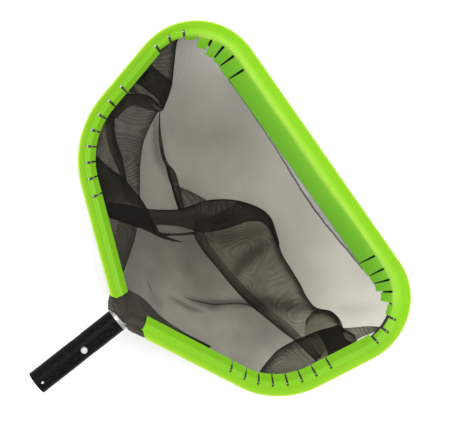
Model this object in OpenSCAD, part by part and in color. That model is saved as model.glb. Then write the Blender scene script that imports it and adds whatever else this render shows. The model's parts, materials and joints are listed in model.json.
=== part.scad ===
// Leaf skimmer net for a telescopic pool pole: a bent rod frame that holds a shallow
// mesh bag, a slotted edge guard that snaps over the rod, and a tubular handle with a
// sprung two-button catch.
// Origin: centre of the handle's free end. +X runs forward along the handle to the
// front edge, +Y is left and +Z is up.

/* [Outline of the guard's lip] */
// Distance from the outline's rear tip forward to its rear corners
rear_corner_x = 88; // [80:1:96]
// Half width at the rear corners
rear_corner_y = 209; // [200:1:215]
// Radius of the rear corners
rear_corner_r = 111; // [100:1:115]
// Distance from the outline's rear tip forward to the front edge
front_corner_x = 314; // [305:1:325]
// Half width at the front corners, where the side and front lines would meet
front_corner_y = 260; // [250:1:270]
// Radius of the front corners
front_corner_r = 79; // [72:1:84]

/* [Frame rod] */
// Diameter of the frame rod
rod_d = 8; // [7:0.5:8]
// Distance from the lip's edge in to the rod's centre line
rod_inset = 10.5; // [9:0.5:12]
// Height of the rod's centre line over the handle's axis
rod_rise = 4; // [3:0.5:4.5]
// Distance of each rod end from the handle's centre plane
rod_end_y = 6.8; // [6.5:0.1:7]
// Radius of the rod's bend as it leaves the handle
rod_bend_r = 10; // [9:0.5:12]

/* [Handle] */
// Length of the handle tube
handle_length = 118; // [110:1:130]
// Outer diameter, which slides into a 31.75 mm pole
handle_d = 28.6; // [28.6]
// Thickness of the handle's wall
handle_wall = 1.6; // [1.4:0.1:1.6]
// Distance from the free end to the catch buttons
button_x = 68; // [64:1:72]
// Diameter of the catch buttons
button_d = 7.4; // [7:0.1:7.6]
// Height of a button over the tube when it is out
button_height = 3; // [2.5:0.1:3.2]
// Length of the insert's collar in front of the handle
collar_length = 5; // [4:0.5:6]

/* [Edge guard] */
// Thickness of the guard's wall
guard_wall = 1.6; // [1.4:0.1:1.8]
// Height of the lip over the rod's centre line
lip_height = 16.5; // [15:0.5:18]
// Distance from the outline's rear tip, along the lip, to each end of the guard
guard_start = 30; // [26:1:40]
// Size of the corner cut off the lip at each end of the guard
end_corner = 6; // [4:0.5:7]
// How far the inner wing reaches past the rod's centre line along the sides
side_reach = 11; // [9:0.5:12]
// The same reach along the front edge
front_reach = 26.5; // [22:0.5:28]
// The same reach for each tooth of a front corner, from the side to the front
tooth_reach = [7.5, 6.5, 10.5, 19.5, 25, 26.5, 27.5];
// Distance between the slots of a corner
slot_pitch = 21; // [18:0.5:21]
// Width of a slot at its outer end
slot_width = 3.5; // [2:0.5:4]
// Lip distance from the rear tip to the first slot of a rear corner
rear_slots_start = 152; // [145:1:155]
// Lip distance from the rear tip to the first slot of a front corner
front_slots_start = 364.5; // [350:0.5:366]
// How far the front slots sit off centre towards the right
front_slots_shift = 3.5; // [0:0.5:6]

/* [Net] */
// Depth of the bag under the rod's centre line
bag_depth = 43; // [35:1:50]
// How far the bag's floor is drawn in from the rod's centre line
bag_taper = 19; // [15:1:25]
// Thickness of the mesh, as a solid sheet
mesh_t = 1; // [0.8:0.1:1.2]
// Radius of the reinforcing patch about the outline's rear tip
patch_r = 42; // [38:1:46]

/* [Hidden] */
$fn = 72;

// Running clearance between pieces that move or slide
clearance = 0.05;
// Gap that keeps sewn pieces apart
sewn_gap = 0.15;
// Hairline between the stretches of a piece that follows the outline
hairline = 0.02;

// Outline: headings of the rear, side and front lines of the right half, in degrees
tip = [handle_length, 0];
rear_corner = tip + [rear_corner_x, -rear_corner_y];
front_corner = tip + [front_corner_x, -front_corner_y];
rear_heading = atan2(-rear_corner_y, rear_corner_x);
side_heading = atan2(rear_corner_y - front_corner_y, front_corner_x - rear_corner_x);
front_heading = 90;
rear_turn = side_heading - rear_heading;
front_turn = front_heading - side_heading;
rear_tangent = rear_corner_r * tan(rear_turn / 2);
front_tangent = front_corner_r * tan(front_turn / 2);

// Distances along the lip from the rear tip to each change from line to arc
rear_arc_start = norm(rear_corner - tip) - rear_tangent;
rear_arc_end = rear_arc_start + rear_corner_r * rear_turn * PI / 180;
front_arc_start = rear_arc_end + norm(front_corner - rear_corner) - rear_tangent - front_tangent;
front_arc_end = front_arc_start + front_corner_r * front_turn * PI / 180;
half_length = front_arc_end + front_corner_y - front_tangent;
slots_per_corner = len(tooth_reach) + 1;

// Handle, catch and insert
handle_r = handle_d / 2;
bore_r = handle_r - handle_wall;
relief_depth = 0.25;
relief_half_length = 7;
button_hole_r = button_d / 2 + 0.7;
insert_start = handle_length - 30;
rod_end_x = insert_start + 4;
screw_positions = [98, 110];
screw_shank_r = 1.9;
clip_width = 9;
clip_t = 0.8;
clip_bend_x = 5.5;
clip_bend_r = 3.2;
clip_pin_x = 7.5;
clip_pin_r = 1.6;
hinge_x = 12;
pad_start_x = 60;
pad_end_x = 75;
pad_z = 10.5;

// Guard section
saddle_in = 5;
saddle_out = saddle_in + guard_wall;
hook_angle = 300;
lip_bead_r = 1;
slot_end = 2.1;
wide_slot_end = -7;

// Hem and bag section
hem_in = rod_d / 2 + sewn_gap;
hem_out = hem_in + 0.6;
hem_start = 20;
tail_bottom = -9.7;
wall_bottom = 2 - bag_depth;
thread_r = 0.35;
patch_z = -6.2;

function dir(a) = [cos(a), sin(a)];
function left_of(a) = dir(a + 90);
function degrees_along(s, r) = s / r * 180 / PI;

// Centre of a corner's arc
function arc_centre(corner, heading, turn, r) =
    corner + r / cos(turn / 2) * left_of(heading + turn / 2);
rear_arc_centre = arc_centre(rear_corner, rear_heading, rear_turn, rear_corner_r);
front_arc_centre = arc_centre(front_corner, side_heading, front_turn, front_corner_r);

// Heading of the lip at a distance along it
function heading_at(s) =
    s < rear_arc_start ? rear_heading :
    s < rear_arc_end ? rear_heading + degrees_along(s - rear_arc_start, rear_corner_r) :
    s < front_arc_start ? side_heading :
    s < front_arc_end ? side_heading + degrees_along(s - front_arc_start, front_corner_r) :
    front_heading;

// Point of the lip at a distance along it
function lip_at(s) =
    s < rear_arc_start ? tip + s * dir(rear_heading) :
    s < rear_arc_end ? rear_arc_centre - rear_corner_r * left_of(heading_at(s)) :
    s < front_arc_start ? rear_corner + (rear_tangent + s - rear_arc_end) * dir(side_heading) :
    s < front_arc_end ? front_arc_centre - front_corner_r * left_of(heading_at(s)) :
    front_corner + (front_tangent + s - front_arc_end) * dir(front_heading);

// Outline of the right half, drawn in from the lip and sampled round its corners
function half_outline(inset) = [
    tip + [inset / sin(-rear_heading), 0],
    for (i = [0:8]) rear_arc_centre
        - (rear_corner_r - inset) * left_of(rear_heading + rear_turn * i / 8),
    for (i = [0:14]) front_arc_centre
        - (front_corner_r - inset) * left_of(side_heading + front_turn * i / 14)
];
function mirrored(points) = [for (i = [len(points) - 1:-1:1]) [points[i].x, -points[i].y]];

// Both halves of something that follows the outline
module both_halves() {
    children();
    mirror([0, 1, 0]) children();
}

// Sweeps a section, drawn about the rod's centre with +x outward, along one line
module along_line(s0, s1) {
    at = lip_at(s1) - hairline / 2 * dir(heading_at((s0 + s1) / 2));
    if (s1 > s0 + hairline)
        translate([at.x, at.y, rod_rise])
            rotate([90, 0, heading_at((s0 + s1) / 2) - 90])
                linear_extrude(s1 - s0 - hairline)
                    translate([-rod_inset, 0]) children();
}

// The same round one corner
module along_arc(s0, s1, centre, r) {
    if (s1 > s0 + hairline)
        translate([centre.x, centre.y, rod_rise])
            rotate([0, 0, heading_at(s0 + hairline / 2) - 90])
                rotate_extrude(angle = degrees_along(s1 - s0 - hairline, r))
                    translate([r - rod_inset, 0]) children();
}

// The same along any stretch of the right half
module along_lip(s0, s1) {
    along_line(s0, min(s1, rear_arc_start)) children();
    along_arc(max(s0, rear_arc_start), min(s1, rear_arc_end), rear_arc_centre, rear_corner_r)
        children();
    along_line(max(s0, rear_arc_end), min(s1, front_arc_start)) children();
    along_arc(max(s0, front_arc_start), min(s1, front_arc_end), front_arc_centre,
              front_corner_r) children();
    along_line(max(s0, front_arc_end), s1) children();
}

// Closed ring whose two halves meet in a mitre behind the handle's mouth
module closed_ring() {
    reach = 60;
    both_halves() {
        intersection() {
            along_line(-reach, rear_arc_start) children();
            translate([0, -2 * front_corner_y - hairline, -2 * reach])
                cube([2 * front_corner_x, 2 * front_corner_y, 4 * reach]);
        }
        along_lip(rear_arc_start, half_length) children();
    }
}

// Solid of revolution about the handle's axis: its section has x as the radius and
// y as the distance from the free end
module about_handle() {
    rotate([0, 90, 0]) rotate_extrude() children();
}

// Flat shape in the plane of the handle's axis, given thickness across the handle
module across_handle(width) {
    rotate([90, 0, 0]) linear_extrude(width, center = true) children();
}

module frame_rod() {
    bend_turn = -rear_heading;
    bend_x = handle_length + (rod_inset + rod_end_y * cos(bend_turn)) / sin(bend_turn)
        - rod_bend_r * tan(bend_turn / 2);
    arm_start = norm([bend_x - handle_length, rod_end_y])
        * cos(bend_turn - atan2(rod_end_y, bend_x - handle_length))
        + rod_bend_r * sin(bend_turn);
    color("silver") both_halves() {
        translate([rod_end_x, -rod_end_y, rod_rise])
            rotate([0, 90, 0]) cylinder(h = bend_x - rod_end_x - hairline, d = rod_d);
        translate([bend_x, -rod_end_y - rod_bend_r, rod_rise])
            rotate([0, 0, 90 - bend_turn]) rotate_extrude(angle = bend_turn)
                translate([rod_bend_r, 0]) circle(d = rod_d);
        along_lip(arm_start + hairline, half_length) circle(d = rod_d);
    }
}

module frame_insert() {
    body_r = bore_r - clearance;
    edge_r = 1.5;
    color("gainsboro") difference() {
        about_handle() {
            translate([0, insert_start]) square([body_r, handle_length - insert_start]);
            translate([0, handle_length + clearance])
                square([handle_r - edge_r, collar_length]);
            translate([0, handle_length + clearance])
                square([handle_r, collar_length - edge_r]);
            translate([handle_r - edge_r, handle_length + clearance + collar_length - edge_r])
                circle(edge_r);
            translate([0, handle_length - 1]) square([body_r, 2]);
        }
        for (side = [-1, 1])
            translate([insert_start - 1, side * rod_end_y, rod_rise])
                rotate([0, 90, 0]) cylinder(h = 50, d = rod_d + 2 * clearance);
        for (x = screw_positions)
            translate([x, 0, -handle_r]) cylinder(h = 12, r = screw_shank_r + clearance);
    }
}

module insert_screws() {
    head_r = 3.6;
    head_h = 2;
    color("lightgray") for (x = screw_positions) translate([x, 0, -handle_r - clearance])
        difference() {
            union() {
                cylinder(h = 11, r = screw_shank_r);
                translate([0, 0, -head_h + 0.6]) cylinder(h = head_h - 0.6, r = head_r);
                translate([0, 0, -head_h]) cylinder(h = 0.6, r1 = head_r - 0.6, r2 = head_r);
            }
            for (a = [0, 90]) rotate(a)
                translate([0, 0, -head_h]) cube([4, 0.8, 2], center = true);
        }
}

module handle_tube() {
    color([0.07, 0.07, 0.07]) difference() {
        about_handle() difference() {
            translate([bore_r, 0]) square([handle_wall, handle_length]);
            translate([handle_r - relief_depth, button_x - relief_half_length])
                square([1, 2 * relief_half_length]);
        }
        translate([button_x, 0, -2 * handle_r]) cylinder(h = 4 * handle_r, r = button_hole_r);
        translate([clip_pin_x, 0, -2 * handle_r])
            cylinder(h = 4 * handle_r, r = clip_pin_r + clearance);
        for (x = screw_positions)
            translate([x, 0, -2 * handle_r])
                cylinder(h = 2 * handle_r, r = screw_shank_r + 0.3);
    }
}

module clip_bend() {
    color("darkgray") difference() {
        across_handle(clip_width) {
            difference() {
                translate([clip_bend_x, 0]) circle(clip_bend_r + clip_t / 2);
                translate([clip_bend_x, 0]) circle(clip_bend_r - clip_t / 2);
                translate([clip_bend_x, -10]) square([20, 20]);
            }
            for (z = [-clip_bend_r, clip_bend_r])
                translate([clip_bend_x, z - clip_t / 2])
                    square([hinge_x - clearance - clip_bend_x, clip_t]);
        }
        translate([clip_pin_x, 0, -10]) cylinder(h = 20, r = clip_pin_r + clearance);
    }
}

module clip_pin() {
    length = handle_d - 0.6;
    color("silver") translate([clip_pin_x, 0, -length / 2])
        cylinder(h = length, r = clip_pin_r);
}

// One sprung leg: it slopes from the bend to a flat pad that carries the button
module clip_leg() {
    start = hinge_x + clearance;
    half = clip_t / 2;
    difference() {
        across_handle(clip_width)
            polygon([
                [start, clip_bend_r - half],
                [pad_start_x, pad_z - half],
                [pad_end_x, pad_z - half],
                [pad_end_x, pad_z + half],
                [pad_start_x, pad_z + half],
                [start, clip_bend_r + half]
            ]);
        translate([button_x, 0, 0]) cylinder(h = 20, r = 1.5 + clearance);
    }
}

module clip_leg_upper() {
    color("darkgray") clip_leg();
}

module clip_leg_lower() {
    color("darkgray") mirror([0, 0, 1]) clip_leg();
}

// Domed button with a stem riveted under the leg's pad
module catch_button() {
    dome = 1;
    top = handle_r + button_height;
    pad_top = pad_z + clip_t / 2 + clearance / 2;
    pad_bottom = pad_z - clip_t / 2 - clearance / 2;
    translate([button_x, 0, 0]) rotate_extrude() {
        translate([0, pad_top]) square([button_d / 2, top - dome - pad_top]);
        translate([0, pad_top]) square([button_d / 2 - dome, top - pad_top]);
        intersection() {
            translate([button_d / 2 - dome, top - dome]) circle(dome);
            translate([0, pad_top]) square(20);
        }
        translate([0, pad_bottom - 0.5]) square([1.5, 2]);
        translate([0, pad_bottom - 0.5]) square([2.2, 0.5]);
    }
}

module catch_button_upper() {
    color("whitesmoke") catch_button();
}

module catch_button_lower() {
    color("whitesmoke") mirror([0, 0, 1]) catch_button();
}

// Section of the guard about the rod's centre: a saddle that snaps over the hem, a
// lip that flares up and out, and a wing that slopes down and in by reach
module guard_section(reach) {
    spread = max(0, (reach - side_reach) / (front_reach - side_reach));
    crease_angle = 135 + 20 * spread;
    crease = saddle_out * dir(crease_angle);
    full_tip = [-max(reach, side_reach), -3.5 - 6 * spread];
    cut = min(1, (reach + crease.x) / (side_reach + crease.x));
    wing_tip = crease + cut * (full_tip - crease);
    wing_heading = atan2(wing_tip.y - crease.y, wing_tip.x - crease.x);
    under = guard_wall * dir(wing_heading + 90);
    shoulder = [2.3, lip_height - 7.9];
    lip_top = [rod_inset - 0.9, lip_height];
    lip_heading = atan2(lip_top.y - shoulder.y, lip_top.x - shoulder.x);
    across = guard_wall * dir(lip_heading - 90);
    difference() {
        union() {
            circle(saddle_out);
            polygon([crease, [0, 0], saddle_out * dir(40), shoulder + across,
                     lip_top + across, lip_top, shoulder]);
            translate(lip_top + across / 2) circle(lip_bead_r);
        }
        circle(saddle_in);
        polygon([[0, 0], 30 * dir(crease_angle), 30 * dir((crease_angle + hook_angle) / 2),
                 30 * dir(hook_angle)]);
    }
    polygon([crease, wing_tip, wing_tip + under, crease + under, 5.4 * dir(crease_angle - 15)]);
}

// One slot in plan, seen from above with +x outward: round outside, narrow inside
module slot_outline(outer, reach) {
    half = slot_width / 2;
    translate([outer - half, 0]) circle(half);
    polygon([[outer - half, -half], [outer - half, half], [-reach - 3, half / 3],
             [-reach - 3, -half / 3]]);
}

module slot(s, outer, reach) {
    at = lip_at(s);
    translate([at.x, at.y, rod_rise - 12])
        rotate([0, 0, heading_at(s) - 90])
            translate([-rod_inset, 0]) linear_extrude(24) slot_outline(outer, reach);
}

// Cut that takes the lip's outer corner off each end of the guard
module end_corner_cut() {
    at = lip_at(guard_start);
    translate([at.x, at.y, rod_rise + saddle_out + 0.5])
        rotate([0, 0, rear_heading - 90])
            linear_extrude(lip_height)
                polygon([[1, -1], [1, end_corner + 1], [-end_corner - 1, -1]]);
}

// Half of the guard, with its front slots moved along by shift
module guard_half(shift) {
    first = front_slots_start + shift;
    last = first + (slots_per_corner - 1) * slot_pitch;
    difference() {
        union() {
            along_lip(guard_start, first) guard_section(side_reach);
            for (i = [0:len(tooth_reach) - 1])
                along_lip(first + i * slot_pitch, first + (i + 1) * slot_pitch)
                    guard_section(tooth_reach[i]);
            along_lip(last, half_length) guard_section(front_reach);
        }
        for (i = [0:slots_per_corner - 1]) {
            wide = tooth_reach[min(i, len(tooth_reach) - 1)] > side_reach;
            slot(rear_slots_start + i * slot_pitch, slot_end, side_reach);
            slot(first + i * slot_pitch, wide ? wide_slot_end : slot_end, front_reach);
        }
        end_corner_cut();
    }
}

module edge_guard() {
    color([0.6, 0.9, 0.25]) {
        guard_half(front_slots_shift);
        mirror([0, 1, 0]) guard_half(-front_slots_shift);
    }
}

// Sewn sleeve round the rod, with a tail that hangs out under the guard
module hem_sleeve() {
    color([0.3, 0.29, 0.26]) both_halves() along_lip(hem_start, half_length) {
        difference() {
            circle(hem_out);
            circle(hem_in);
        }
        polygon([(hem_out - 0.1) * dir(-107), (hem_out - 0.1) * dir(-120), [-5.1, tail_bottom + 0.2],
                 [-4.1, tail_bottom]]);
    }
}

module hem_thread() {
    color("dimgray") both_halves() along_lip(hem_start + 1, half_length)
        translate([-4.25, -6.5]) circle(thread_r);
}

module net_wall() {
    wall_top = tail_bottom - 0.3;
    color([0.45, 0.43, 0.4, 0.7]) closed_ring()
        polygon([[-4.1, wall_top], [-4.1 - mesh_t, wall_top], [-bag_taper - mesh_t, wall_bottom],
                 [-bag_taper, wall_bottom]]);
}

module net_floor() {
    points = half_outline(rod_inset + bag_taper + 2.5);
    color([0.45, 0.43, 0.4, 0.7]) translate([0, 0, rod_rise - bag_depth])
        linear_extrude(mesh_t) polygon(concat(points, mirrored(points)));
}

module floor_binding() {
    color([0.2, 0.2, 0.18]) closed_ring()
        translate([-bag_taper - 2.2, -bag_depth]) square([3.2, 1.9]);
}

module floor_thread() {
    color("dimgray") closed_ring()
        translate([-bag_taper - 1.8, 2 - bag_depth + thread_r]) circle(thread_r);
}

// Everything in front of the handle that lies between the two arms of the hem
module between_arms() {
    apex = (rod_inset + hem_out + 0.5) / sin(-rear_heading);
    intersection() {
        children();
        polygon([[apex, 0], [apex, 0] + 90 * dir(rear_heading), [apex, 0] + 90 * dir(-rear_heading)]);
    }
}

module throat_patch() {
    color([0.16, 0.15, 0.13]) translate([handle_length, 0, rod_rise + patch_z])
        linear_extrude(mesh_t) between_arms() circle(patch_r);
}

module patch_binding() {
    color([0.12, 0.12, 0.1]) translate([handle_length, 0, rod_rise + patch_z - 0.3])
        linear_extrude(1.6) between_arms() difference() {
            circle(patch_r + 2.1);
            circle(patch_r + 0.1);
        }
}

module patch_thread() {
    half_angle = 40;
    color("dimgray") translate([handle_length, 0, rod_rise + patch_z + mesh_t + thread_r + 0.05])
        rotate([0, 0, -half_angle]) rotate_extrude(angle = 2 * half_angle)
            translate([patch_r - 2, 0]) circle(thread_r);
}

frame_rod();
frame_insert();
insert_screws();
handle_tube();
clip_bend();
clip_pin();
clip_leg_upper();
clip_leg_lower();
catch_button_upper();
catch_button_lower();
edge_guard();
hem_sleeve();
hem_thread();
net_wall();
net_floor();
floor_binding();
floor_thread();
throat_patch();
patch_binding();
patch_thread();
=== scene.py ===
import json
import math

import bpy
import numpy as np
from mathutils import Matrix, Vector


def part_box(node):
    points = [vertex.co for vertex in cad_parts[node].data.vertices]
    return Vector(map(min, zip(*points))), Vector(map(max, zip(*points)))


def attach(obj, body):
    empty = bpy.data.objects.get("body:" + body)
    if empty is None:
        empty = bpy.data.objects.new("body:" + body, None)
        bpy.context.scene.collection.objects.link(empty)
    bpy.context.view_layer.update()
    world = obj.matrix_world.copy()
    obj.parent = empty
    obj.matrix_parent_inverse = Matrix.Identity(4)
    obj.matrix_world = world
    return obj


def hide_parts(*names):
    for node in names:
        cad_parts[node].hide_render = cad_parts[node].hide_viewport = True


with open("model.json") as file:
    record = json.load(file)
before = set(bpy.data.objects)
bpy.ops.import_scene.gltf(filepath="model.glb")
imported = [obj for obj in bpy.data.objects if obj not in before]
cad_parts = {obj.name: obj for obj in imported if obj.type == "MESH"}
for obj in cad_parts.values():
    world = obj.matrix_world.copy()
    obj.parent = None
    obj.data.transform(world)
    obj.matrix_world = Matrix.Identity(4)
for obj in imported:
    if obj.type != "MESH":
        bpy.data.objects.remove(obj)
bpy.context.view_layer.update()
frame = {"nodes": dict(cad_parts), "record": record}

MM = 0.001
NODES = frame["nodes"]
BODY = "skimmer"


# ---------------------------------------------------------------- the frame's outline, in millimetres
def box_mm(node):
    low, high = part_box(node)
    return np.array(low) / MM, np.array(high) / MM


GUARD_LOW, GUARD_HIGH = box_mm("edge_guard")
MOUTH_X = box_mm("handle_tube")[1][0]
ROD_R = 4.0
ROD_Z = box_mm("frame_rod")[1][2] - ROD_R
ROD_INSET = 10.5
# The right half's corners and radii of the lip, as the CAD draws them
REAR_CORNER = np.array([MOUTH_X + 88.0, -209.0])
FRONT_CORNER = np.array([MOUTH_X + 314.0, -260.0])
REAR_R, FRONT_R = 111.0, 79.0
TIP = np.array([MOUTH_X, 0.0])


def direction(angle):
    return np.array([math.cos(angle), math.sin(angle)])


def left_of(angle):
    return direction(angle + math.pi / 2)


class Outline:
    """The lip's outline as lines and arcs, from the tip round the right half to the front centre."""

    def __init__(self):
        self.rear = math.atan2(*(REAR_CORNER - TIP)[::-1])
        self.side = math.atan2(*(FRONT_CORNER - REAR_CORNER)[::-1])
        self.front = math.pi / 2
        rear_turn, front_turn = self.side - self.rear, self.front - self.side
        rear_t = REAR_R * math.tan(rear_turn / 2)
        front_t = FRONT_R * math.tan(front_turn / 2)
        self.s1 = np.linalg.norm(REAR_CORNER - TIP) - rear_t
        self.s2 = self.s1 + REAR_R * rear_turn
        self.s3 = self.s2 + np.linalg.norm(FRONT_CORNER - REAR_CORNER) - rear_t - front_t
        self.s4 = self.s3 + FRONT_R * front_turn
        self.half = self.s4 - FRONT_CORNER[1] - front_t
        self.c1 = REAR_CORNER + (REAR_R / math.cos(rear_turn / 2)
                                 * left_of(self.rear + rear_turn / 2))
        self.c2 = FRONT_CORNER + (FRONT_R / math.cos(front_turn / 2)
                                  * left_of(self.side + front_turn / 2))
        self.p2 = REAR_CORNER + rear_t * direction(self.side)
        self.p4 = FRONT_CORNER + front_t * direction(self.front)

    def heading(self, s):
        if s < self.s1:
            return self.rear
        if s < self.s2:
            return self.rear + (s - self.s1) / REAR_R
        if s < self.s3:
            return self.side
        if s < self.s4:
            return self.side + (s - self.s3) / FRONT_R
        return self.front

    def lip(self, s):
        h = self.heading(s)
        if s < self.s1:
            return TIP + s * direction(h)
        if s < self.s2:
            return self.c1 - REAR_R * left_of(h)
        if s < self.s3:
            return self.p2 + (s - self.s2) * direction(h)
        if s < self.s4:
            return self.c2 - FRONT_R * left_of(h)
        return self.p4 + (s - self.s4) * direction(h)

    def at(self, s, inset):
        """Point at s, drawn in from the lip; a negative s is on the left half."""
        mirror = -1.0 if s < 0 else 1.0
        s = abs(s)
        p = self.lip(s) + inset * left_of(self.heading(s))
        # Where both arms' inner lines would cross at the tip, the point is the crossing
        if inset > 0 and p[1] > 0 and s < self.s1:
            p = TIP + np.array([inset / math.sin(-self.rear), 0.0])
        return np.array([p[0], mirror * p[1]])


OUTLINE = Outline()


# ---------------------------------------------------------------- mesh helpers
def new_object(name, verts_mm, faces, smooth=True):
    mesh = bpy.data.meshes.new(name)
    mesh.from_pydata([tuple(v * MM for v in p) for p in verts_mm], [], faces)
    mesh.validate()
    mesh.update()
    for polygon in mesh.polygons:
        polygon.use_smooth = smooth
    obj = bpy.data.objects.new(name, mesh)
    bpy.context.scene.collection.objects.link(obj)
    return obj


def grid_faces(rows, columns, close_columns=False, close_rows=False):
    faces = []
    for i in range(rows if close_rows else rows - 1):
        for j in range(columns if close_columns else columns - 1):
            i2, j2 = (i + 1) % rows, (j + 1) % columns
            faces.append((i * columns + j, i * columns + j2, i2 * columns + j2, i2 * columns + j))
    return faces


def ring_caps(ring, rows):
    """The two end faces of a tube of rings."""
    return [tuple(range(ring))[::-1], tuple(range((rows - 1) * ring, rows * ring))]


CURVE_STEPS = 24


def measured(points):
    """Distance along a line of points, at each of them."""
    return np.r_[0, np.cumsum(np.linalg.norm(np.diff(points, axis=0), axis=1))]


def points_at(distances, measure, points):
    """Points at distances along a line whose own points lie at the distances in measure."""
    return np.stack([np.interp(distances, measure, points[:, k]) for k in range(points.shape[1])],
                    axis=1)


def smooth_curve(points, count):
    """A Catmull-Rom curve through the points, resampled evenly."""
    pts = [np.array(p, float) for p in points]
    pts = [2 * pts[0] - pts[1]] + pts + [2 * pts[-1] - pts[-2]]
    dense = []
    for a, b, c, d in zip(pts, pts[1:], pts[2:], pts[3:]):
        for t in np.linspace(0, 1, CURVE_STEPS, endpoint=False):
            dense.append(0.5 * (2 * b + (c - a) * t + (2 * a - 5 * b + 4 * c - d) * t * t
                                + (3 * b - a - 3 * c + d) * t ** 3))
    dense.append(pts[-2])
    dense = np.array(dense)
    length = measured(dense)
    return points_at(np.linspace(0, length[-1], count), length, dense)


WAVE_COUNT = 7


def waves(points, seed, length):
    """Smooth wandering height at points, mostly from -1 to 1, from waves of about one length."""
    rng = np.random.default_rng(seed)
    total = np.zeros(len(points))
    for _ in range(WAVE_COUNT):
        angle, phase = rng.uniform(0, 2 * math.pi, 2)
        k = 2 * math.pi / (length * rng.uniform(0.6, 1.8))
        along = points[:, 0] * math.cos(angle) + points[:, 1] * math.sin(angle)
        total = total + np.sin(k * along + phase)
    return total / 4.0


# ---------------------------------------------------------------- materials
class Graph:
    """The node graph of a new material, with a method for each node that the looks are made of."""

    def __init__(self, name):
        self.material = bpy.data.materials.new(name)
        self.material.use_nodes = True
        tree = self.material.node_tree
        self.nodes, self.link = tree.nodes, tree.links.new
        self.nodes.clear()
        self.coords = self.add("ShaderNodeTexCoord").outputs["Object"]

    def add(self, kind, **settings):
        """A setting is a property of the node or else an input, with _ for the spaces in its name."""
        node = self.nodes.new(kind)
        for key, value in settings.items():
            if hasattr(node, key):
                setattr(node, key, value)
            else:
                node.inputs[key.replace("_", " ")].default_value = value
        return node

    def math(self, operation, *values, clamp=False):
        node = self.add("ShaderNodeMath", operation=operation, use_clamp=clamp)
        for socket, value in zip(node.inputs, values):
            if isinstance(value, (int, float)):
                socket.default_value = value
            else:
                self.link(value, socket)
        return node.outputs[0]

    def scaled(self, value, factor, offset):
        return self.math("ADD", self.math("MULTIPLY", value, factor), offset)

    def centred(self, value, middle, factor):
        return self.math("MULTIPLY", self.math("SUBTRACT", value, middle), factor)

    def share(self, value, start, length):
        """How far a value has come through a span, from 0 to 1."""
        return self.math("DIVIDE", self.math("SUBTRACT", value, start), length, clamp=True)

    def ramp(self, value, stops):
        node = self.add("ShaderNodeValToRGB")
        elements = node.color_ramp.elements
        while len(elements) < len(stops):
            elements.new(0.5)
        for element, (place, colour) in zip(elements, stops):
            element.position = place
            element.color = (*colour, 1)
        self.link(value, node.inputs[0])
        return node.outputs[0]

    def noise(self, scale, detail=3.0, stretch=(1, 1, 1)):
        mapping = self.add("ShaderNodeMapping", Scale=stretch)
        self.link(self.coords, mapping.inputs[0])
        node = self.add("ShaderNodeTexNoise", Scale=scale, Detail=detail)
        self.link(mapping.outputs[0], node.inputs["Vector"])
        return node.outputs["Fac"]

    def axes(self, vector):
        node = self.add("ShaderNodeSeparateXYZ")
        self.link(vector, node.inputs[0])
        return node.outputs

    def bump(self, height, strength, distance):
        node = self.add("ShaderNodeBump", Strength=strength, Distance=distance)
        self.link(height, node.inputs["Height"])
        return node.outputs[0]

    def principled(self, colour, normal=None, roughness=None, **settings):
        node = self.add("ShaderNodeBsdfPrincipled", **settings)
        for name, value in (("Base Color", colour), ("Normal", normal), ("Roughness", roughness)):
            if value is not None:
                self.link(value, node.inputs[name])
        return node.outputs[0]

    def mixed(self, factor, first, second):
        node = self.add("ShaderNodeMixShader")
        for socket, value in zip(node.inputs, (factor, first, second)):
            self.link(value, socket)
        return node.outputs[0]

    def finished(self, shader):
        self.link(shader, self.add("ShaderNodeOutputMaterial").inputs[0])
        return self.material


def metal(name, colour, roughness, grain=(400, 30, 400), metallic=1.0):
    """Metal with a fine grain, stretched where grain is low, and darker blotches."""
    g = Graph(name)
    lines = g.noise(1.0, 4.0, grain)
    dark = tuple(c * 0.8 for c in colour)
    return g.finished(g.principled(g.ramp(g.noise(60.0), [(0.3, dark), (0.7, colour)]),
                                   g.bump(lines, 0.4, 0.00003),
                                   g.scaled(lines, 0.25, roughness - 0.12), Metallic=metallic))


def black_tube():
    """Anodised aluminium: deep black with faint drawing lines along the tube."""
    g = Graph("black_anodised")
    lines = g.noise(1.0, 5.0, (12, 900, 900))
    colour = g.ramp(g.noise(220.0, 4.0),
                    [(0.35, (0.003, 0.003, 0.0025)), (0.75, (0.009, 0.009, 0.0075))])
    return g.finished(g.principled(colour, g.bump(lines, 0.35, 0.00005),
                                   g.scaled(lines, 0.25, 0.16), Specular_IOR_Level=0.03))


WING_FROM, WING_BLEND = MOUTH_X + 245.0, 45.0
# Lime colour with painted light by height: the low stops are painted shade on the inner wall, the bright
# stop at 0.53 is a painted highlight on the wing's ridge, and the top stops are a painted highlight on the
# lit edge.
WING_COLOURS_AND_SHADING = [(0.0, (0.055, 0.20, 0.004)), (0.46, (0.13, 0.36, 0.010)),
                (0.53, (0.36, 0.57, 0.075)), (0.64, (0.24, 0.53, 0.020)),
                (0.95, (0.22, 0.54, 0.010)), (1.0, (0.34, 0.55, 0.025))]
LIP_COLOURS_AND_SHADING = [(0.0, (0.15, 0.41, 0.014)), (0.3, (0.17, 0.42, 0.014)),
               (0.58, (0.16, 0.40, 0.011)), (0.78, (0.20, 0.46, 0.014)),
               (0.94, (0.24, 0.50, 0.020)), (1.0, (0.34, 0.54, 0.035))]


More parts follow.
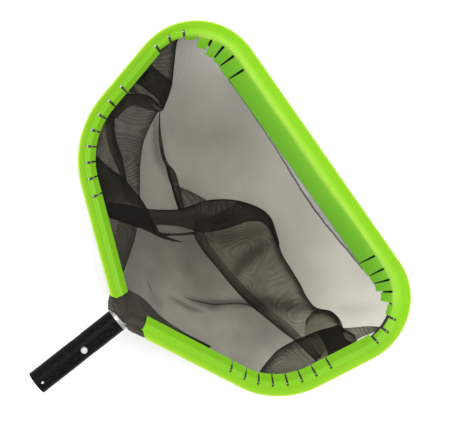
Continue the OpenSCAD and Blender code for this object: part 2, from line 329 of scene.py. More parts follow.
def green_plastic():
    """Soft lime extrusion, coloured by height with painted light: painted shade low down on the inner
    wall, deepest on the front wing, and painted highlights on the wing's ridge and the top edge.
    """
    g = Graph("lime_extrusion")
    x, _, height = g.axes(g.coords)
    low, high = GUARD_LOW[2] * MM, GUARD_HIGH[2] * MM
    # The height picks the colour: darker low down is painted shade, lighter at the top is painted
    # highlight.
    level = g.math("ADD", g.share(height, low, high - low), g.centred(g.noise(9.0, 2.0), 0.5, 0.12))
    mix = g.add("ShaderNodeMix", data_type="RGBA")
    g.link(g.share(x, WING_FROM * MM, WING_BLEND * MM), mix.inputs["Factor"])
    g.link(g.ramp(level, LIP_COLOURS_AND_SHADING), mix.inputs[6])
    g.link(g.ramp(level, WING_COLOURS_AND_SHADING), mix.inputs[7])
    return g.finished(g.principled(mix.outputs[2], g.bump(g.noise(260.0), 0.25, 0.00006),
                                   g.scaled(g.noise(130.0, 4.0), 0.2, 0.24),
                                   Subsurface_Weight=0.25, Subsurface_Radius=(0.5, 1.0, 0.15),
                                   Subsurface_Scale=0.002, Specular_IOR_Level=0.12))


def weave(g, pitch_mm, angle):
    """Height of two crossing sets of threads, 0 in the gaps to 1 on a thread."""
    mapping = g.add("ShaderNodeMapping", Rotation=(0, 0, angle))
    g.link(g.coords, mapping.inputs[0])
    turns = 2 * math.pi / (pitch_mm * MM)
    threads = [g.scaled(g.math("SINE", g.math("MULTIPLY", across, turns)), 0.5, 0.5)
               for across in g.axes(mapping.outputs[0])[:2]]
    return g.math("MAXIMUM", *threads)


MESH_PITCH, MESH_ANGLE = 1.5, 0.5
MESH_OPEN = 0.47
MIDDLE_OF_WEAVE = 0.68
THREAD_CONTRAST = 0.25
LEAST_OPEN, LEAST_FACING = 0.03, 0.15
MOIRE_RINGS = 26.0


def mesh_cloth(name, thread, tint, bands=0.0):
    """See-through woven mesh. The mesh attribute "layers" says how many layers lie on each other at a
    point, where in places it also stands for painted soft shade, more thread shows where the cloth is
    seen edge-on, and bands is the strength of the interference pattern that two layers of fine mesh make."""
    g = Graph(name)
    top = weave(g, MESH_PITCH, MESH_ANGLE)
    geometry = g.add("ShaderNodeNewGeometry")
    facing = g.add("ShaderNodeVectorMath", operation="DOT_PRODUCT")
    g.link(geometry.outputs["Normal"], facing.inputs[0])
    g.link(geometry.outputs["Incoming"], facing.inputs[1])
    square = g.math("MAXIMUM", g.math("ABSOLUTE", facing.outputs["Value"]), LEAST_FACING)
    layers = g.add("ShaderNodeAttribute", attribute_name="layers")
    swing = g.centred(top, MIDDLE_OF_WEAVE, THREAD_CONTRAST)
    patchy = g.centred(g.noise(16.0), 0.5, 0.10)
    through = g.math("SUBTRACT", g.math("ADD", patchy, MESH_OPEN), swing)
    through = g.math("MAXIMUM", through, LEAST_OPEN)
    rings = g.math("SINE", g.math("MULTIPLY", g.noise(17.0, 0.0), 2 * math.pi * MOIRE_RINGS))
    thick = g.math("MULTIPLY", layers.outputs["Fac"], g.scaled(rings, 0.5 * bands, 1.0))
    through = g.math("POWER", through, g.math("DIVIDE", thick, square))
    shade = g.ramp(top, [(0.2, tuple(c * 0.6 for c in thread)), (0.95, thread)])
    cloth = g.principled(shade, g.bump(top, 0.5, 0.0003), Roughness=0.9, Specular_IOR_Level=0.04)
    clear = g.add("ShaderNodeBsdfTransparent", Color=(*tint, 1)).outputs[0]
    return g.finished(g.mixed(through, cloth, clear))


def woven_fabric(name, dark, light, pitch_mm, angle=0.3, depth=0.0004):
    """Opaque woven tape or patch with worn, uneven threads, and painted shade in the gaps between threads.
    """
    g = Graph(name)
    top = weave(g, pitch_mm, angle)
    worn = g.noise(90.0, 6.0, (1.0, 0.35, 1.0))
    # Darker where the threads dip: painted shade between threads, mixed with random wear.
    value = g.math("ADD", g.math("MULTIPLY", top, 0.5), g.math("MULTIPLY", worn, 0.5))
    return g.finished(g.principled(g.ramp(value, [(0.32, dark), (0.78, light)]),
                                   g.bump(value, 0.7, depth), Roughness=0.85,
                                   Specular_IOR_Level=0.2, Sheen_Weight=0.04))


MATERIALS = {
    "bare_aluminium": metal("bright_rod", (0.80, 0.80, 0.80), 0.3),
    "cast_insert": metal("cast_insert_metal", (0.40, 0.39, 0.36), 0.45, (300, 300, 300)),
    "steel_fastener": metal("fastener_steel", (0.60, 0.60, 0.61), 0.35),
    "spring_steel": metal("spring_strip_steel", (0.42, 0.43, 0.45), 0.35),
    "black_anodised_tube": black_tube(),
    "button": metal("button_nickel", (0.52, 0.52, 0.50), 0.42, (500, 500, 500), metallic=0.3),
    "green_guard": green_plastic(),
    "bag_mesh": mesh_cloth("fine_bag_mesh", (0.016, 0.015, 0.012), (1.0, 0.975, 0.87)),
    "hem_mesh": woven_fabric("hem_double_mesh", (0.01, 0.009, 0.007), (0.085, 0.076, 0.062), 1.3),
    "patch_fabric": woven_fabric("patch_weave", (0.0015, 0.0015, 0.001), (0.050, 0.044, 0.034), 1.6,
                                 depth=0.0006),
    "binding_tape": woven_fabric("black_tape", (0.006, 0.006, 0.005), (0.04, 0.038, 0.034), 1.0),
    "thread": woven_fabric("twisted_thread", (0.012, 0.011, 0.01), (0.07, 0.065, 0.06), 0.7, 0.8),
}

DOUBLED_MESH = mesh_cloth("doubled_bag_mesh", (0.011, 0.0105, 0.0085), (1.0, 0.985, 0.93), 0.36)
REAR_MESH = mesh_cloth("rear_bag_mesh", (0.016, 0.015, 0.012), (1.0, 0.99, 0.96))
GREY_MESH = woven_fabric("grey_hem_edge", (0.10, 0.095, 0.09), (0.36, 0.345, 0.33), 1.8)


def dress(obj, slot, look=None):
    """Gives a piece its slot's material, or another look of the same slot."""
    obj.data.materials.clear()
    obj.data.materials.append(look or MATERIALS[slot])
    return obj


# The CAD nodes' materials. The soft nodes are replaced further on, by pieces of cloth.
for row in frame["record"]["subparts"]:
    node = NODES[row["node"]]
    node.data.materials.clear()
    node.data.materials.append(MATERIALS[row["material_slot"]])


# ---------------------------------------------------------------- the bag
BAG_INSET = ROD_INSET + 5.0
HEM_BOTTOM = ROD_Z - 7.0
BAG_FALL, WALL_LENGTH = 27.0, 20.0
# Waves of the lowest layer: height, seed, wavelength, and the length over which they grow from the hem
BAG_WAVES = [(2.2, 3, 90.0, 30.0), (0.5, 8, 24.0, 15.0)]
CREASE_GROWTH = 12.0
TUCK_MARGIN = 0.5


def bag_boundary(count):
    """The bag's top edge, with one point at the rear tip where the two halves meet."""
    stations = np.linspace(-OUTLINE.half, OUTLINE.half, count, endpoint=False)
    ring = np.array([OUTLINE.at(s, BAG_INSET) for s in stations])
    return ring[np.linalg.norm(np.roll(ring, -1, axis=0) - ring, axis=1) > 0.1]


BOUNDARY = bag_boundary(240)
EDGES = np.roll(BOUNDARY, -1, axis=0) - BOUNDARY
EDGES = EDGES / np.linalg.norm(EDGES, axis=1)[:, None]
NORMALS = np.stack([-EDGES[:, 1], EDGES[:, 0]], axis=1)
INWARD = np.sign(np.sum(NORMALS * (BOUNDARY.mean(axis=0) - BOUNDARY), axis=1))
NORMALS = NORMALS * INWARD[:, None]


def edge_distances(points):
    return np.einsum("pk,ek->pe", points, NORMALS) - np.sum(BOUNDARY * NORMALS, axis=1)


def distance_in(points):
    """Distance of points from the bag's boundary, positive inside."""
    return edge_distances(points).min(axis=1)


def tuck(points):
    """Moves points that lie past the hem back inside it."""
    for _ in range(3):
        d = edge_distances(points)
        worst = d.argmin(axis=1)
        short = np.maximum(TUCK_MARGIN - d.min(axis=1), 0)
        points = points + NORMALS[worst] * short[:, None]
    return points


def grown(distance, length):
    """0 at no distance, growing towards 1 over a few lengths."""
    return 1 - np.exp(-distance / length)


def line_distance(points, line):
    """Distance of points from a line, and how far along it the nearest place is, from 0 to 1."""
    best, place = np.full(len(points), 1e9), np.zeros(len(points))
    for i, (p, q) in enumerate(zip(line[:-1], line[1:])):
        pq = q - p
        t = np.clip(((points - p) @ pq) / max(pq @ pq, 1e-9), 0, 1)
        d = np.linalg.norm(points - (p + t[:, None] * pq), axis=1)
        place = np.where(d < best, (i + t) / (len(line) - 1), place)
        best = np.minimum(best, d)
    return best, place


def near_line(points, line, width):
    """1 on the middle of a line, weaker towards its ends, and 0 at a few widths from it."""
    d, place = line_distance(points, line)
    taper = np.sin(math.pi * np.clip(place, 0.02, 0.98)) ** 0.5
    return taper * np.exp(-(d / (width * (0.35 + 0.65 * taper))) ** 2)


# Creases of the lowest layer: line, width, depth, and how many layers denser the mesh looks there. Some of
# that extra density is painted soft shade beside the folds, not cloth.
CREASE_LINES = [
    # A real dip along the rear crease; its wide extra density is painted soft shade along the crease.
    ([(199, -40), (206, -52), (212, -60), (223, -73), (237, -82), (250, -93), (258, -103), (265, -113)],
     5.0, 3.5, 0.9),
    ([(184, -26), (191, -44), (197, -57), (207, -70)], 2.6, 1.5, 0.9),
    ([(172, 0), (170, -14), (170, -30)], 6.0, 1.5, 0.3),
    ([(240, 10), (225, -20), (222, -60), (228, -100)], 14, 3.0, 0.25),
    ([(200, -100), (222, -130), (250, -150), (268, -155)], 12, 2.0, 0.2),
    # Painted shadow: this entry runs just behind the thin fold, a shallow dip whose extra density paints
    # the fold's soft shadow on the lowest layer.
    ([(306, 161), (297, 149), (286, 135), (277, 118), (274, 104), (268, 88)], 6.0, 2.5, 0.9),
    ([(300, 150), (330, 110), (370, 70), (385, 20)], 18, 2.5, 0.15),
    ([(330, 60), (350, 0), (350, -60), (365, -130)], 18, 2.5, -0.1),
    ([(340, -175), (362, -196), (384, -205)], 10, 2.0, 0.25),
]
CREASES = [(smooth_curve(line, 30), *rest) for line, *rest in CREASE_LINES]


def bag_height(points):
    """Height of the bag's lowest layer, which falls from the hem to an uneven floor."""
    d = np.maximum(distance_in(points), 0)
    z = HEM_BOTTOM - BAG_FALL * grown(d, WALL_LENGTH)
    for height, seed, length, growth in BAG_WAVES:
        z = z + height * waves(points, seed, length) * grown(d, growth)
    for line, width, depth, _ in CREASES:
        z = z - depth * near_line(points, line, width) * grown(d, CREASE_GROWTH)
    return z


def bag_layers(points):
    """How dense the lowest layer looks: less dense towards the right, denser along its creases, where the
    extra density is partly doubled cloth and partly painted soft shade beside the folds.
    """
    layers = 0.88 + 0.0016 * points[:, 1] + 0.12 * waves(points, 5, 110.0)
    for line, width, _, extra_density in CREASES:
        layers = layers + extra_density * near_line(points, line, width)
    return np.clip(layers, 0.5, 6.0)


def set_layers(obj, values):
    attribute = obj.data.attributes.new("layers", "FLOAT", "POINT")
    attribute.data.foreach_set("value", np.asarray(values, dtype=np.float32))


def bag_sheet(rows=250, columns=150):
    """The lowest layer: one sheet of rows across the bag, each from its rear edge to its front edge."""
    side_x = BOUNDARY[np.argmax(np.abs(BOUNDARY[:, 1]))][0]
    rear = BOUNDARY[BOUNDARY[:, 0] < side_x + 0.5]
    front = BOUNDARY[BOUNDARY[:, 0] > side_x - 0.5]
    rear, front = rear[rear[:, 1].argsort()], front[front[:, 1].argsort()]
    left = BOUNDARY[:, 1].max() - 0.02
    across = 0.5 - 0.5 * np.cos(np.linspace(0, math.pi, columns))
    verts, layers = [], []
    for y in -left * np.cos(np.linspace(0, math.pi, rows)):
        x0, x1 = np.interp(y, rear[:, 1], rear[:, 0]), np.interp(y, front[:, 1], front[:, 0])
        points = np.stack([x0 + (x1 - x0) * across, np.full(columns, y)], axis=1)
        verts += list(np.c_[points, bag_height(points)])
        layers += list(bag_layers(points))
    obj = new_object("bag_lower_layer", verts, grid_faces(rows, columns))
    set_layers(obj, layers)
    return dress(obj, "bag_mesh")


# Width of the rims along a fold's edges, and the distance from the hem within which folds lie flatter
RIM, FOLD_ROOM = 6.0, 22.0
FOLD_WAVE, FOLD_WAVELENGTH = 0.7, 38.0
LOOK_WAVE, LOOK_WAVELENGTH = 0.14, 26.0
PLEAT_RISE = 0.8


def fold(name, edge_a, edge_b, lift, dense, crown=3.0, doubled=True, along=70, across=14, seed=1,
         gap=2.0, pleats=(), look=DOUBLED_MESH):
    """A folded part of the bag between two edges. It is one sheet, or two joined round both edges, and
    dense gives how many layers it looks at edge a, in the middle and at edge b. Each pleat is a line,
    its width and how many layers denser it looks along it."""
    a, b = smooth_curve(edge_a, along), smooth_curve(edge_b, along)
    width = np.linalg.norm(b - a, axis=1)
    section = [(v, False) for v in np.linspace(0, 1, across)]
    if doubled:
        section += [(v, True) for v in np.linspace(1, 0, across)[1:-1]]
    pleats = [(smooth_curve(line, 30), *rest) for line, *rest in pleats]
    at_a, middle, at_b = dense
    verts, layers = [], []
    for v, under in section:
        points = tuck(a + (b - a) * v)
        room = np.clip(distance_in(points) / FOLD_ROOM, 0.05, 1.0)
        z = bag_height(points) + (lift + crown * math.sin(math.pi * v) ** 0.6) * room
        z = z + FOLD_WAVE * waves(points, seed, FOLD_WAVELENGTH) * room
        near_a, near_b = np.exp(-(v * width / RIM) ** 2), np.exp(-((1 - v) * width / RIM) ** 2)
        looks = middle + (at_a - middle) * near_a + (at_b - middle) * near_b
        looks = looks + LOOK_WAVE * middle * waves(points, seed + 50, LOOK_WAVELENGTH)
        for line, pleat_width, extra_density in pleats:
            gathered = near_line(points, line, pleat_width)
            looks = looks + extra_density * gathered
            z = z + PLEAT_RISE * extra_density * gathered * room
        if under:
            z = z - gap * math.sin(math.pi * v) ** 0.5 * room
        verts += list(np.c_[points, z])
        layers += list(np.clip(looks, 0.1, 8.0) * (0.5 if doubled else 1.0))
    obj = new_object(name, verts, grid_faces(len(section), along, close_rows=doubled))
    set_layers(obj, layers)
    return dress(obj, "bag_mesh", look)


REAR_FOLDS = [
    fold("bag_rear_layer",
         [(268, 26), (262, -6), (262, -32), (263, -62), (267, -92), (272, -120), (280, -150), (288, -206)],
         [(205, 100), (175, 75), (138, 24), (138, 0), (148, -40), (166, -90), (190, -150), (240, -215)],
         3.0, (0.8, 0.56, 0.5), doubled=False, across=36, along=90, seed=11, look=REAR_MESH),
    fold("bag_rear_left_fold",
         [(209, 73), (201, 65.5), (194, 60), (184.5, 54), (172, 46), (158, 38)],
         [(190, 112), (182, 96), (175, 82), (168, 67), (162, 53), (157, 38)],
         7.0, (2.4, 1.5, 1.3), 2.0, doubled=False, along=50, seed=24),
    fold("bag_band_hollow",
         [(220, 65), (224, 58), (222.5, 47.5), (229, 39.5), (241, 30), (256, 21)],
         [(214, 57), (217, 47.5), (221, 41.5), (229, 36), (239, 28), (254, 18)],
         7.0, (4.5, 4.0, 4.5), 1.5, doubled=False, across=6, seed=23),
    fold("bag_band_tail",
         [(208, 76), (216, 62), (222, 46.5), (228.5, 32.5), (236, 21.5)],
         [(204, 71), (212, 56), (218.5, 42), (226.5, 30), (235.5, 20)],
         7.0, (3.4, 3.0, 3.4), 1.5, doubled=False, across=10, seed=29),
    fold("bag_rear_crease",
         [(198, -39), (205.6, -53), (210.8, -60.2), (222.2, -74), (236.2, -83.2), (249, -94.2),
          (264, -114)],
         [(199, -40), (207, -52), (212.2, -58.8), (223.4, -72.2), (237.4, -81.2), (250.8, -92.2),
          (266, -112)],
         0.6, (4.0, 4.5, 2.2), 0.4, doubled=False, across=6, seed=30, look=REAR_MESH),
    fold("bag_tip_crease",
         [(175.2, 8.5), (173.4, 1), (171.6, -6)], [(174.6, 7.5), (172.2, 0), (171.2, -7)],
         0.6, (3.0, 3.0, 1.0), 0.4, doubled=False, along=24, across=5, seed=31, look=REAR_MESH),
]

LEFT_FOLDS = [
    fold("bag_upper_left_flap",
         [(380, 222), (372, 216), (362, 204), (345, 184), (329, 170), (314, 161)],
         [(380, 232), (366, 232), (345, 228), (322, 222), (305, 216), (292, 206)],
         4.0, (3.4, 1.5, 1.9), 4.0, along=60, across=22, seed=12, gap=3.0),
    fold("bag_upper_left_tuck",
         [(332, 220), (334, 205), (338, 190), (341, 180)],
         [(302, 214), (309, 198), (314, 180), (313, 161)],
         8.0, (3.0, 2.8, 3.6), 2.5, across=20, seed=13),
    fold("bag_left_arch",
         [(278, 212), (290, 203), (299, 196), (307, 189), (312, 178), (313, 161)],
         [(254, 198), (263, 188), (275, 190), (288, 187), (297, 175), (308, 162)],
         7.0, (2.6, 2.4, 1.8), 2.5, across=18, seed=25),
    fold("bag_left_layer",
         [(308, 163), (290, 155), (270, 143), (254, 127), (240, 109), (229, 94), (227, 79)],
         [(300, 212), (272, 206), (250, 192), (238, 172), (232, 152), (226, 130), (213, 103)],
         4.0, (2.3, 1.4, 1.5), 4.0, doubled=False, across=30, seed=14),
    fold("bag_left_swoop",
         [(262, 190), (252, 176), (246, 162), (241, 147), (235, 134), (228, 120)],
         [(258, 204), (236, 190), (216, 174), (203, 152), (194, 130), (186, 108)],
         7.0, (3.6, 1.3, 3.0), 3.0, across=22, seed=15),
    fold("bag_left_wedge",
         [(219, 168), (221, 151), (226, 132), (228, 112), (228, 84), (221, 53)],
         [(210, 168), (200, 148), (193, 128), (186, 104), (194, 88), (206, 69)],
         10.0, (3.0, 2.6, 2.6), 3.0, across=22, seed=26),
    fold("bag_thin_fold",
         [(311, 163), (302, 151), (292, 135), (283, 117), (279, 103), (272, 89), (265, 67), (260, 50)],
         [(308, 161), (298.5, 149), (288, 135), (279, 118), (275.5, 104), (269, 88), (261, 67),
          (256, 52)],
         4.0, (5.0, 5.0, 3.0), 2.0, across=8, seed=22),
    fold("bag_thin_fold_end",
         [(280, 106), (280.5, 94), (276, 80), (269, 63), (263, 49)],
         [(277, 107), (271, 95), (267, 84), (262, 67), (257, 51)],
         6.0, (2.8, 2.6, 2.8), 1.5, across=8, seed=27),
    fold("bag_small_triangle",
         [(272, 80), (282, 62), (291, 42)], [(270, 76), (265, 60), (262, 46)],
         6.0, (2.4, 1.3, 1.3), 1.5, doubled=False, seed=21),
]

MIDDLE_FOLDS = [
    fold("bag_middle_band",
         [(198, 114), (214, 96), (227, 80), (240, 68), (257, 55), (272, 49), (289, 43), (307, 31),
          (325, 13), (338, -9), (341, -26), (337, -42), (331, -58)],
         [(184, 106), (196, 86), (206, 69), (224, 57), (242, 41), (253, 27), (264, 13), (280, 3),
          (301, -6), (316, -11), (328, -22), (331, -40), (327, -56)],
         8.0, (3.8, 2.8, 2.4), 4.0, along=110, across=20, seed=16, gap=3.0,
         pleats=[([(250, 48), (272, 30), (296, 12), (320, 0)], 5.0, 1.2)]),
    fold("bag_centre_fold",
         [(262, 28), (253, 17), (250, -4), (251, -31), (252, -64), (255, -95), (261, -122), (268, -153),
          (273, -173), (278, -206)],
         [(322, 16), (338, -9), (341, -26), (336, -41), (332, -53), (326, -72), (324, -96), (322, -119),
          (319, -137), (320, -155), (332, -172), (333, -188), (326, -200)],
         6.0, (2.8, 1.02, 3.6), 7.0, along=110, across=40, seed=17, gap=4.0,
         pleats=[([(258, -56), (281, -47), (302, -46), (321, -49), (332, -54)], 8.0, 1.1),
                 ([(254, -54), (257, -73), (262, -92), (279, -115), (299, -134), (320, -156)], 9.0, 1.5),
                 ([(262, 10), (285, -12), (310, -24), (335, -34)], 10.0, 0.8)]),
]

RIGHT_FOLDS = [
    fold("bag_right_leaf",
         [(207, -170), (238, -166), (258, -167), (285, -174), (312, -183), (330, -196), (338, -212)],
         [(209, -176), (228, -194), (251, -208), (271, -216), (292, -222), (312, -228), (330, -234)],
         7.0, (3.6, 1.5, 2.4), 3.0, across=22, seed=18),
    fold("bag_right_overlap",
         [(300, -158), (316, -156), (331, -168), (335, -184), (331, -198)],
         [(288, -170), (284, -184), (282, -200), (290, -212), (304, -218)],
         10.0, (3.2, 0.6, 0.5), 2.0, across=20, seed=19),
    fold("bag_right_knot",
         [(304, -179), (318, -184), (331, -192), (325, -207), (333, -222)],
         [(300, -188), (300, -197), (296, -206), (291, -216), (308, -226)],
         13.0, (3.4, 3.2, 3.4), 2.5, across=18, seed=28),
    fold("bag_right_point",
         [(316, -186), (327, -194), (341, -204), (356, -213.5), (375, -226.5)],
         [(312, -222), (328, -218.5), (339, -218.5), (355, -222.5), (375.5, -227.5)],
         6.0, (2.0, 1.1, 2.2), 2.0, doubled=False, across=18, seed=20),
]

lowest = bag_sheet()
for piece in [lowest] + REAR_FOLDS + LEFT_FOLDS + MIDDLE_FOLDS + RIGHT_FOLDS:
    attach(piece, BODY)
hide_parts("net_floor", "net_wall")


# ---------------------------------------------------------------- hem, patch, tapes and threads
def swept(name, stations, section, slot, look=None):
    """Sweeps section(s), points of (outward, up) about the rod's centre, along the outline."""
    verts = []
    for s in stations:
        centre = OUTLINE.at(s, ROD_INSET)
        outward = -left_of(OUTLINE.heading(abs(s)))
        if s < 0:
            outward = np.array([outward[0], -outward[1]])
        points = section(s)
        for u, w in points:
            p = centre + u * outward
            verts.append((p[0], p[1], ROD_Z + w))
    obj = new_object(name, verts, grid_faces(len(stations), len(points), close_columns=True))
    return dress(obj, slot, look)


def both_ways(start, step):
    """Stations from a start to the front centre, along the right half and along the left one."""
    half = list(np.arange(start, OUTLINE.half, step)) + [OUTLINE.half]
    return half, [-s for s in half]


HEM_INNER, HEM_OUTER = 4.12, 4.65
TAIL_THICKNESS = 0.5
HEM_ANGLES = np.radians(np.linspace(102, 372, 22))


def hem_section(s):
    """The hem hugs the rod from its inner top round underneath, and is open outside."""
    loose = 0.25 * math.sin(s * 0.31) + 0.2 * math.sin(s * 0.87 + 1)
    outer = [(HEM_OUTER + 0.12 * loose) * direction(a) for a in HEM_ANGLES]
    return outer + [HEM_INNER * direction(a) for a in HEM_ANGLES[::-1]]


def tail_section(s):
    """The net's top edge, running from under the rod down and in to the bag."""
    sag = 0.4 * math.sin(s * 0.11) + 0.3 * math.sin(s * 0.37)
    line = [(-2.0, -4.9), (-2.8, -5.9), (-3.6, -6.7), (-4.7, -7.7 + 0.4 * sag)]
    return line + [(u - TAIL_THICKNESS, w - TAIL_THICKNESS) for u, w in line[::-1]]


WING_START, WING_DROP, WING_SLOPE = 5.0, 6.4, 0.235
STRIP_THICKNESS = 0.6


def under_wing(u):
    """Height over the rod's centre of the wing's underside, at a distance inside the rod."""
    return -WING_DROP - WING_SLOPE * (u - WING_START)


def strip_section(start, end):
    """A flat strip under the guard's wing, from one distance inside the rod to another."""
    inward = np.linspace(start, end, 8)
    return ([(-u, under_wing(u)) for u in inward]
            + [(-u, under_wing(u) - STRIP_THICKNESS) for u in inward[::-1]])


BAND_FROM, BAND_GROWS = 426.0, 46.0
BAND_EDGE, BAND_LEAST, BAND_REACH = 5.0, 5.5, 25.0
STRIP_REAR, STRIP_FRONT = 24.0, 26.2
STRIP_LENGTH = 150.0
STRIP_BULGE, BULGE_AT, BULGE_WIDTH = 7.0, 45.0, 80.0
CORD_R, CORD_Z = 0.55, -11.9
SEAM_INSET, SEAM_LIFT = 1.4, 0.2


def shade_band_section(s):
    """A dark band under the wing, painted shade that shows through the guard's slots; it reaches further
    in as the wing grows round the front corner.
    """
    share = min(1.0, max(0.0, abs(s) - BAND_FROM) / BAND_GROWS)
    return strip_section(BAND_EDGE, BAND_LEAST + (BAND_REACH - BAND_LEAST) * share)


def strip_reach(s):
    """The grey edge hangs out most a little right of the front edge's middle."""
    right_of_middle = math.copysign(OUTLINE.half - abs(s), s)
    bulge = STRIP_BULGE * math.exp(-((right_of_middle - BULGE_AT) / BULGE_WIDTH) ** 2)
    return STRIP_FRONT + bulge + 0.25 * math.sin(s * 0.23)


def grey_section(s):
    return strip_section(STRIP_REAR, strip_reach(s))


def cord_section(s):
    return [(-strip_reach(s) + CORD_R * math.cos(a), CORD_Z + CORD_R * math.sin(a))
            for a in np.linspace(0, 5.2, 7)]


STITCH_RING, STITCH_STEPS = 6, 5
STITCH_RADIUS, STITCH_TAPER = 0.32, 0.55


def stitches(name, path, side=(0, 0, 1), length=3.0, pitch=4.4):
    """A row of short stitches along a path: each is a thread that dips into the cloth at both ends."""
    path = np.array(path, float)
    measure = measured(path)
    side = np.array(side, float)
    verts, faces = [], []
    for start in np.arange(pitch / 2, measure[-1] - length, pitch):
        base = len(verts)
        points = points_at(np.linspace(start, start + length, STITCH_STEPS), measure, path)
        along = (points[-1] - points[0]) / np.linalg.norm(points[-1] - points[0])
        across = np.cross(along, side)
        for i, p in enumerate(points):
            rise = STITCH_RADIUS * (1.6 * math.sin(math.pi * i / (STITCH_STEPS - 1)) - 0.6)
            r = STITCH_RADIUS * (STITCH_TAPER if i in (0, STITCH_STEPS - 1) else 1.0)
            for k in range(STITCH_RING):
                angle = 2 * math.pi * k / STITCH_RING
                verts.append(p + side * (rise + r * math.sin(angle)) + across * r * math.cos(angle))
        thread = (grid_faces(STITCH_STEPS, STITCH_RING, close_columns=True)
                  + ring_caps(STITCH_RING, STITCH_STEPS))
        faces += [tuple(base + i for i in face) for face in thread]
    return dress(new_object(name, verts, faces), "thread")


def along_outline(stations, place):
    """Points that follow the outline. place(s) is a distance inside the rod's centre and over it."""
    points = []
    for s in stations:
        inward, up = place(s)
        p = OUTLINE.at(s, ROD_INSET + inward)
        points.append((p[0], p[1], ROD_Z + up))
    return points


def hem_seam(s):
    return 3.9, -6.9


def strip_seam(s):
    inward = strip_reach(s) - SEAM_INSET
    return inward, SEAM_LIFT + under_wing(inward)


hem_pieces = []
for side, stations in zip(("right", "left"), both_ways(21.0, 4.0)):
    front = [s for s in stations if abs(s) > BAND_FROM]
    edge = [s for s in stations if abs(s) > OUTLINE.half - STRIP_LENGTH]
    hem_pieces += [
        swept(f"hem_{side}", stations, hem_section, "hem_mesh"),
        swept(f"hem_tail_{side}", stations, tail_section, "hem_mesh"),
        stitches(f"hem_stitching_{side}", along_outline(stations, hem_seam), (-0.5, 0, 0.8)),
        # Painted shade: the front band is black tape under the wing, where the cloth is shaded.
        swept(f"front_shade_band_{side}", front, shade_band_section, "binding_tape"),
        swept(f"front_edge_strip_{side}", edge, grey_section, "hem_mesh", GREY_MESH),
        swept(f"front_edge_cord_{side}", edge, cord_section, "binding_tape"),
        stitches(f"front_edge_stitching_{side}", along_outline(edge, strip_seam), pitch=3.6, length=2.4),
    ]
for piece in hem_pieces:
    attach(piece, BODY)
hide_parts("hem_sleeve", "hem_thread", "floor_binding", "floor_thread")


def rod_path():
    """Centre line of the right arm of the rod, from the handle's mouth round its bend."""
    points = [(MOUTH_X, -6.8), (MOUTH_X + 7.6, -6.8), (MOUTH_X + 11.3, -7.5), (MOUTH_X + 14.4, -9.6)]
    return np.array(points + [tuple(OUTLINE.at(s, ROD_INSET)) for s in np.arange(18.5, 130.0, 6.0)])


ARM = rod_path()
PATCH_CLEARANCE = 5.9
CLOTH_WAVELENGTH = 16.0
RIPPLE, RIPPLE_LENGTH = 0.15, 9.0


def over_rods(points):
    """The least height at which cloth lies over the rod's two arms."""
    flat = np.stack([points[:, 0], -np.abs(points[:, 1])], axis=1)
    d, _ = line_distance(flat, ARM)
    rise = np.sqrt(np.maximum(PATCH_CLEARANCE ** 2 - d ** 2, 0))
    return np.where(d < PATCH_CLEARANCE, ROD_Z + rise, -1e9)


def draped(name, edge_a, edge_b, slot, thickness, across, crown, seed, rough, along=90):
    """A thick piece of fabric lofted between two edges given in space, laid over the rod."""
    a, b = smooth_curve(edge_a, along), smooth_curve(edge_b, along)
    upper = []
    for v in np.linspace(0, 1, across):
        p = a + (b - a) * v
        p[:, 2] += crown * math.sin(math.pi * v) + rough * waves(p, seed, CLOTH_WAVELENGTH)
        ripple = RIPPLE * waves(p, seed + 3, RIPPLE_LENGTH)
        p[:, 2] = np.maximum(p[:, 2], over_rods(p[:, :2]) + ripple)
        upper.append(p)
    lower = [p - np.array([0, 0, thickness]) for p in upper[::-1]]
    rows = len(upper) + len(lower)
    faces = grid_faces(rows, along, close_rows=True)
    start = [i * along for i in range(rows)]
    faces += [tuple(start[::-1]), tuple(i + along - 1 for i in start)]
    return dress(new_object(name, [q for p in upper + lower for q in p], faces), slot)


PATCH_BACK = [(136, 31, 4), (130.8, 26.5, 7), (126, 19.5, 8.4), (123.4, 11, 8.6), (122.8, 1.5, 8.0),
              (124.2, -8, 8.6), (128, -18, 8.0), (131.5, -26, 6), (141.5, -44, 1), (156, -71, -5),
              (176, -100, -9)]
PATCH_FRONT = [(149, 25, -6), (152, 14, -9), (156.5, 2, -11), (159, -12, -11), (160, -28, -10),
               (163, -43, -10), (167.5, -58, -10), (171.5, -70, -10), (179, -88, -11), (186, -105, -13)]
TAPE_OUTER = [(x + 0.6, y, z + 0.5) for x, y, z in PATCH_FRONT]
TAPE_INNER = [(x - 2.4, y + 0.4, z + 1.5) for x, y, z in PATCH_FRONT]
SEAM = [(x - 3.4, y + 0.6, z + 3.0) for x, y, z in PATCH_FRONT[:-3]]

patch = draped("throat_patch_cloth", PATCH_BACK, PATCH_FRONT, "patch_fabric", thickness=0.8, across=36,
               crown=1.5, seed=31, rough=0.6)
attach(patch, BODY)
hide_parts("throat_patch", "patch_binding", "patch_thread")
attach(draped("patch_edge_tape", TAPE_OUTER, TAPE_INNER, "binding_tape", thickness=1.0, across=6,
               crown=0.3, seed=33, rough=0.1), BODY)
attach(stitches("patch_stitching", smooth_curve(SEAM, 60), pitch=3.8, length=2.6), BODY)


CUFF_RING, CUFF_ROWS, CUFF_HEIGHT = 24, 48, 4.4


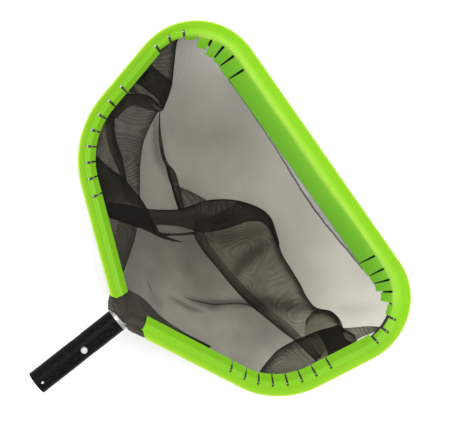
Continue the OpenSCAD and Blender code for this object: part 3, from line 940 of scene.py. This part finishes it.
def cuff(name, outer, inner, seed):
    """The loose end of the hem where an arm leaves the handle: a soft crumpled tube between two lines
    of points, whose heights are over the rod's centre."""
    a, b = (smooth_curve([(x, y, ROD_Z + up) for x, y, up in line], CUFF_ROWS)
            for line in (outer, inner))
    verts = []
    for t, p, q in zip(np.arange(CUFF_ROWS) / (CUFF_ROWS - 1), a, b):
        middle, half = (p + q) / 2, (p - q) / 2
        height = CUFF_HEIGHT * (1 - 0.55 * t)
        for k in range(CUFF_RING):
            angle = 2 * math.pi * k / CUFF_RING
            crumple = 0.35 * math.sin(4 * angle + 13 * t) * math.sin(9 * t + seed)
            r = math.cos(angle) * (1 + 0.05 * math.sin(17 * t + seed))
            verts.append((middle[0] + half[0] * r, middle[1] + half[1] * r,
                          middle[2] + (height * math.sin(angle) + crumple)))
    faces = grid_faces(CUFF_ROWS, CUFF_RING, close_columns=True) + ring_caps(CUFF_RING, CUFF_ROWS)
    return dress(new_object(name, verts, faces), "hem_mesh")


RIGHT_OUTER = [(124.2, -9.5, 0), (121.6, -15.6, 0), (122.4, -19, -1), (125, -26.5, -2),
               (128.5, -34.5, -4), (133.5, -42.5, -6), (140, -50, -7.5)]
RIGHT_INNER = [(126, -6, 0), (130, -11, 0), (132, -17, -0.5), (133.5, -26, -2), (137, -35, -3.5),
               (142, -43.5, -5), (147, -51, -6)]
LEFT_OUTER = [(123.8, 12, 0), (119.6, 15.8, 0), (118.8, 18.9, 0), (123.5, 24.5, -1.5),
              (131, 30.5, -4.5), (138.5, 36, -7)]
LEFT_INNER = [(126, 7, 0), (129, 11, 0), (131, 17, 0), (133, 23, -1), (138, 29.5, -4), (144, 36, -6)]
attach(cuff("hem_cuff_right", RIGHT_OUTER, RIGHT_INNER, seed=41), BODY)
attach(cuff("hem_cuff_left", LEFT_OUTER, LEFT_INNER, seed=43), BODY)


# ---------------------------------------------------------------- stage, lights and camera
LIP_Z = ROD_Z + 16.5
# The camera's place and axes, solved from the outline as the photo shows it
CAMERA_AT = Vector(((MOUTH_X + 74.9) * MM, 349.9 * MM, (1152.6 + LIP_Z) * MM))
CAMERA_AXES = Matrix(((0.7847, 0.6141, -0.0844), (-0.5753, 0.7722, 0.2696), (0.2307, -0.1630, 0.9593)))
SENSOR_MM, LENS_MM = 36.0, 82.104
FLOOR_HALF, FLOOR_Z = 6000.0, -85.0
SKY_COLOUR, SKY_STRENGTH = (0.98, 0.99, 1.0, 1), 0.85
# Name, place in metres, power and size of each light
LIGHTS = [("key_light", (0.2, 1.1, 1.6), 26, 1.2),
          ("fill_light", (1.4, -0.9, 1.3), 14, 1.6),
          ("rim_light", (-0.9, -0.5, 1.2), 8, 1.2)]
LIGHTS_AIM = Vector((0.25, 0.0, 0.0))


def placed(name, data):
    obj = bpy.data.objects.new(name, data)
    bpy.context.scene.collection.objects.link(obj)
    return obj


def floor():
    """A pale floor, which is see-through from below."""
    g = Graph("pale_floor")
    tone = g.ramp(g.noise(3.0), [(0.3, (0.90, 0.90, 0.90)), (0.7, (0.93, 0.93, 0.93))])
    look = g.mixed(g.add("ShaderNodeNewGeometry").outputs["Backfacing"],
                   g.principled(tone, Roughness=0.9), g.add("ShaderNodeBsdfTransparent").outputs[0])
    corners = [(FLOOR_HALF * x, FLOOR_HALF * y, FLOOR_Z) for x, y in ((-1, -1), (1, -1), (1, 1), (-1, 1))]
    plane = new_object("floor", corners, [(0, 1, 2, 3)], smooth=False)
    plane.data.materials.append(g.finished(look))


def lights():
    world = bpy.data.worlds.new("studio_sky")
    world.use_nodes = True
    background = world.node_tree.nodes["Background"]
    background.inputs[0].default_value = SKY_COLOUR
    background.inputs[1].default_value = SKY_STRENGTH
    bpy.context.scene.world = world
    for name, place, power, size in LIGHTS:
        light = bpy.data.lights.new(name, "AREA")
        light.energy, light.size = power, size
        lamp = placed(name, light)
        lamp.location = place
        lamp.rotation_euler = (LIGHTS_AIM - Vector(place)).to_track_quat("-Z", "Y").to_euler()


def camera():
    lens = bpy.data.cameras.new("camera")
    lens.sensor_width, lens.lens = SENSOR_MM, LENS_MM
    eye = placed("camera", lens)
    eye.matrix_world = Matrix.Translation(CAMERA_AT) @ CAMERA_AXES.to_4x4()
    bpy.context.scene.camera = eye
    bpy.context.scene.view_settings.view_transform = "Standard"


floor()
lights()
camera()
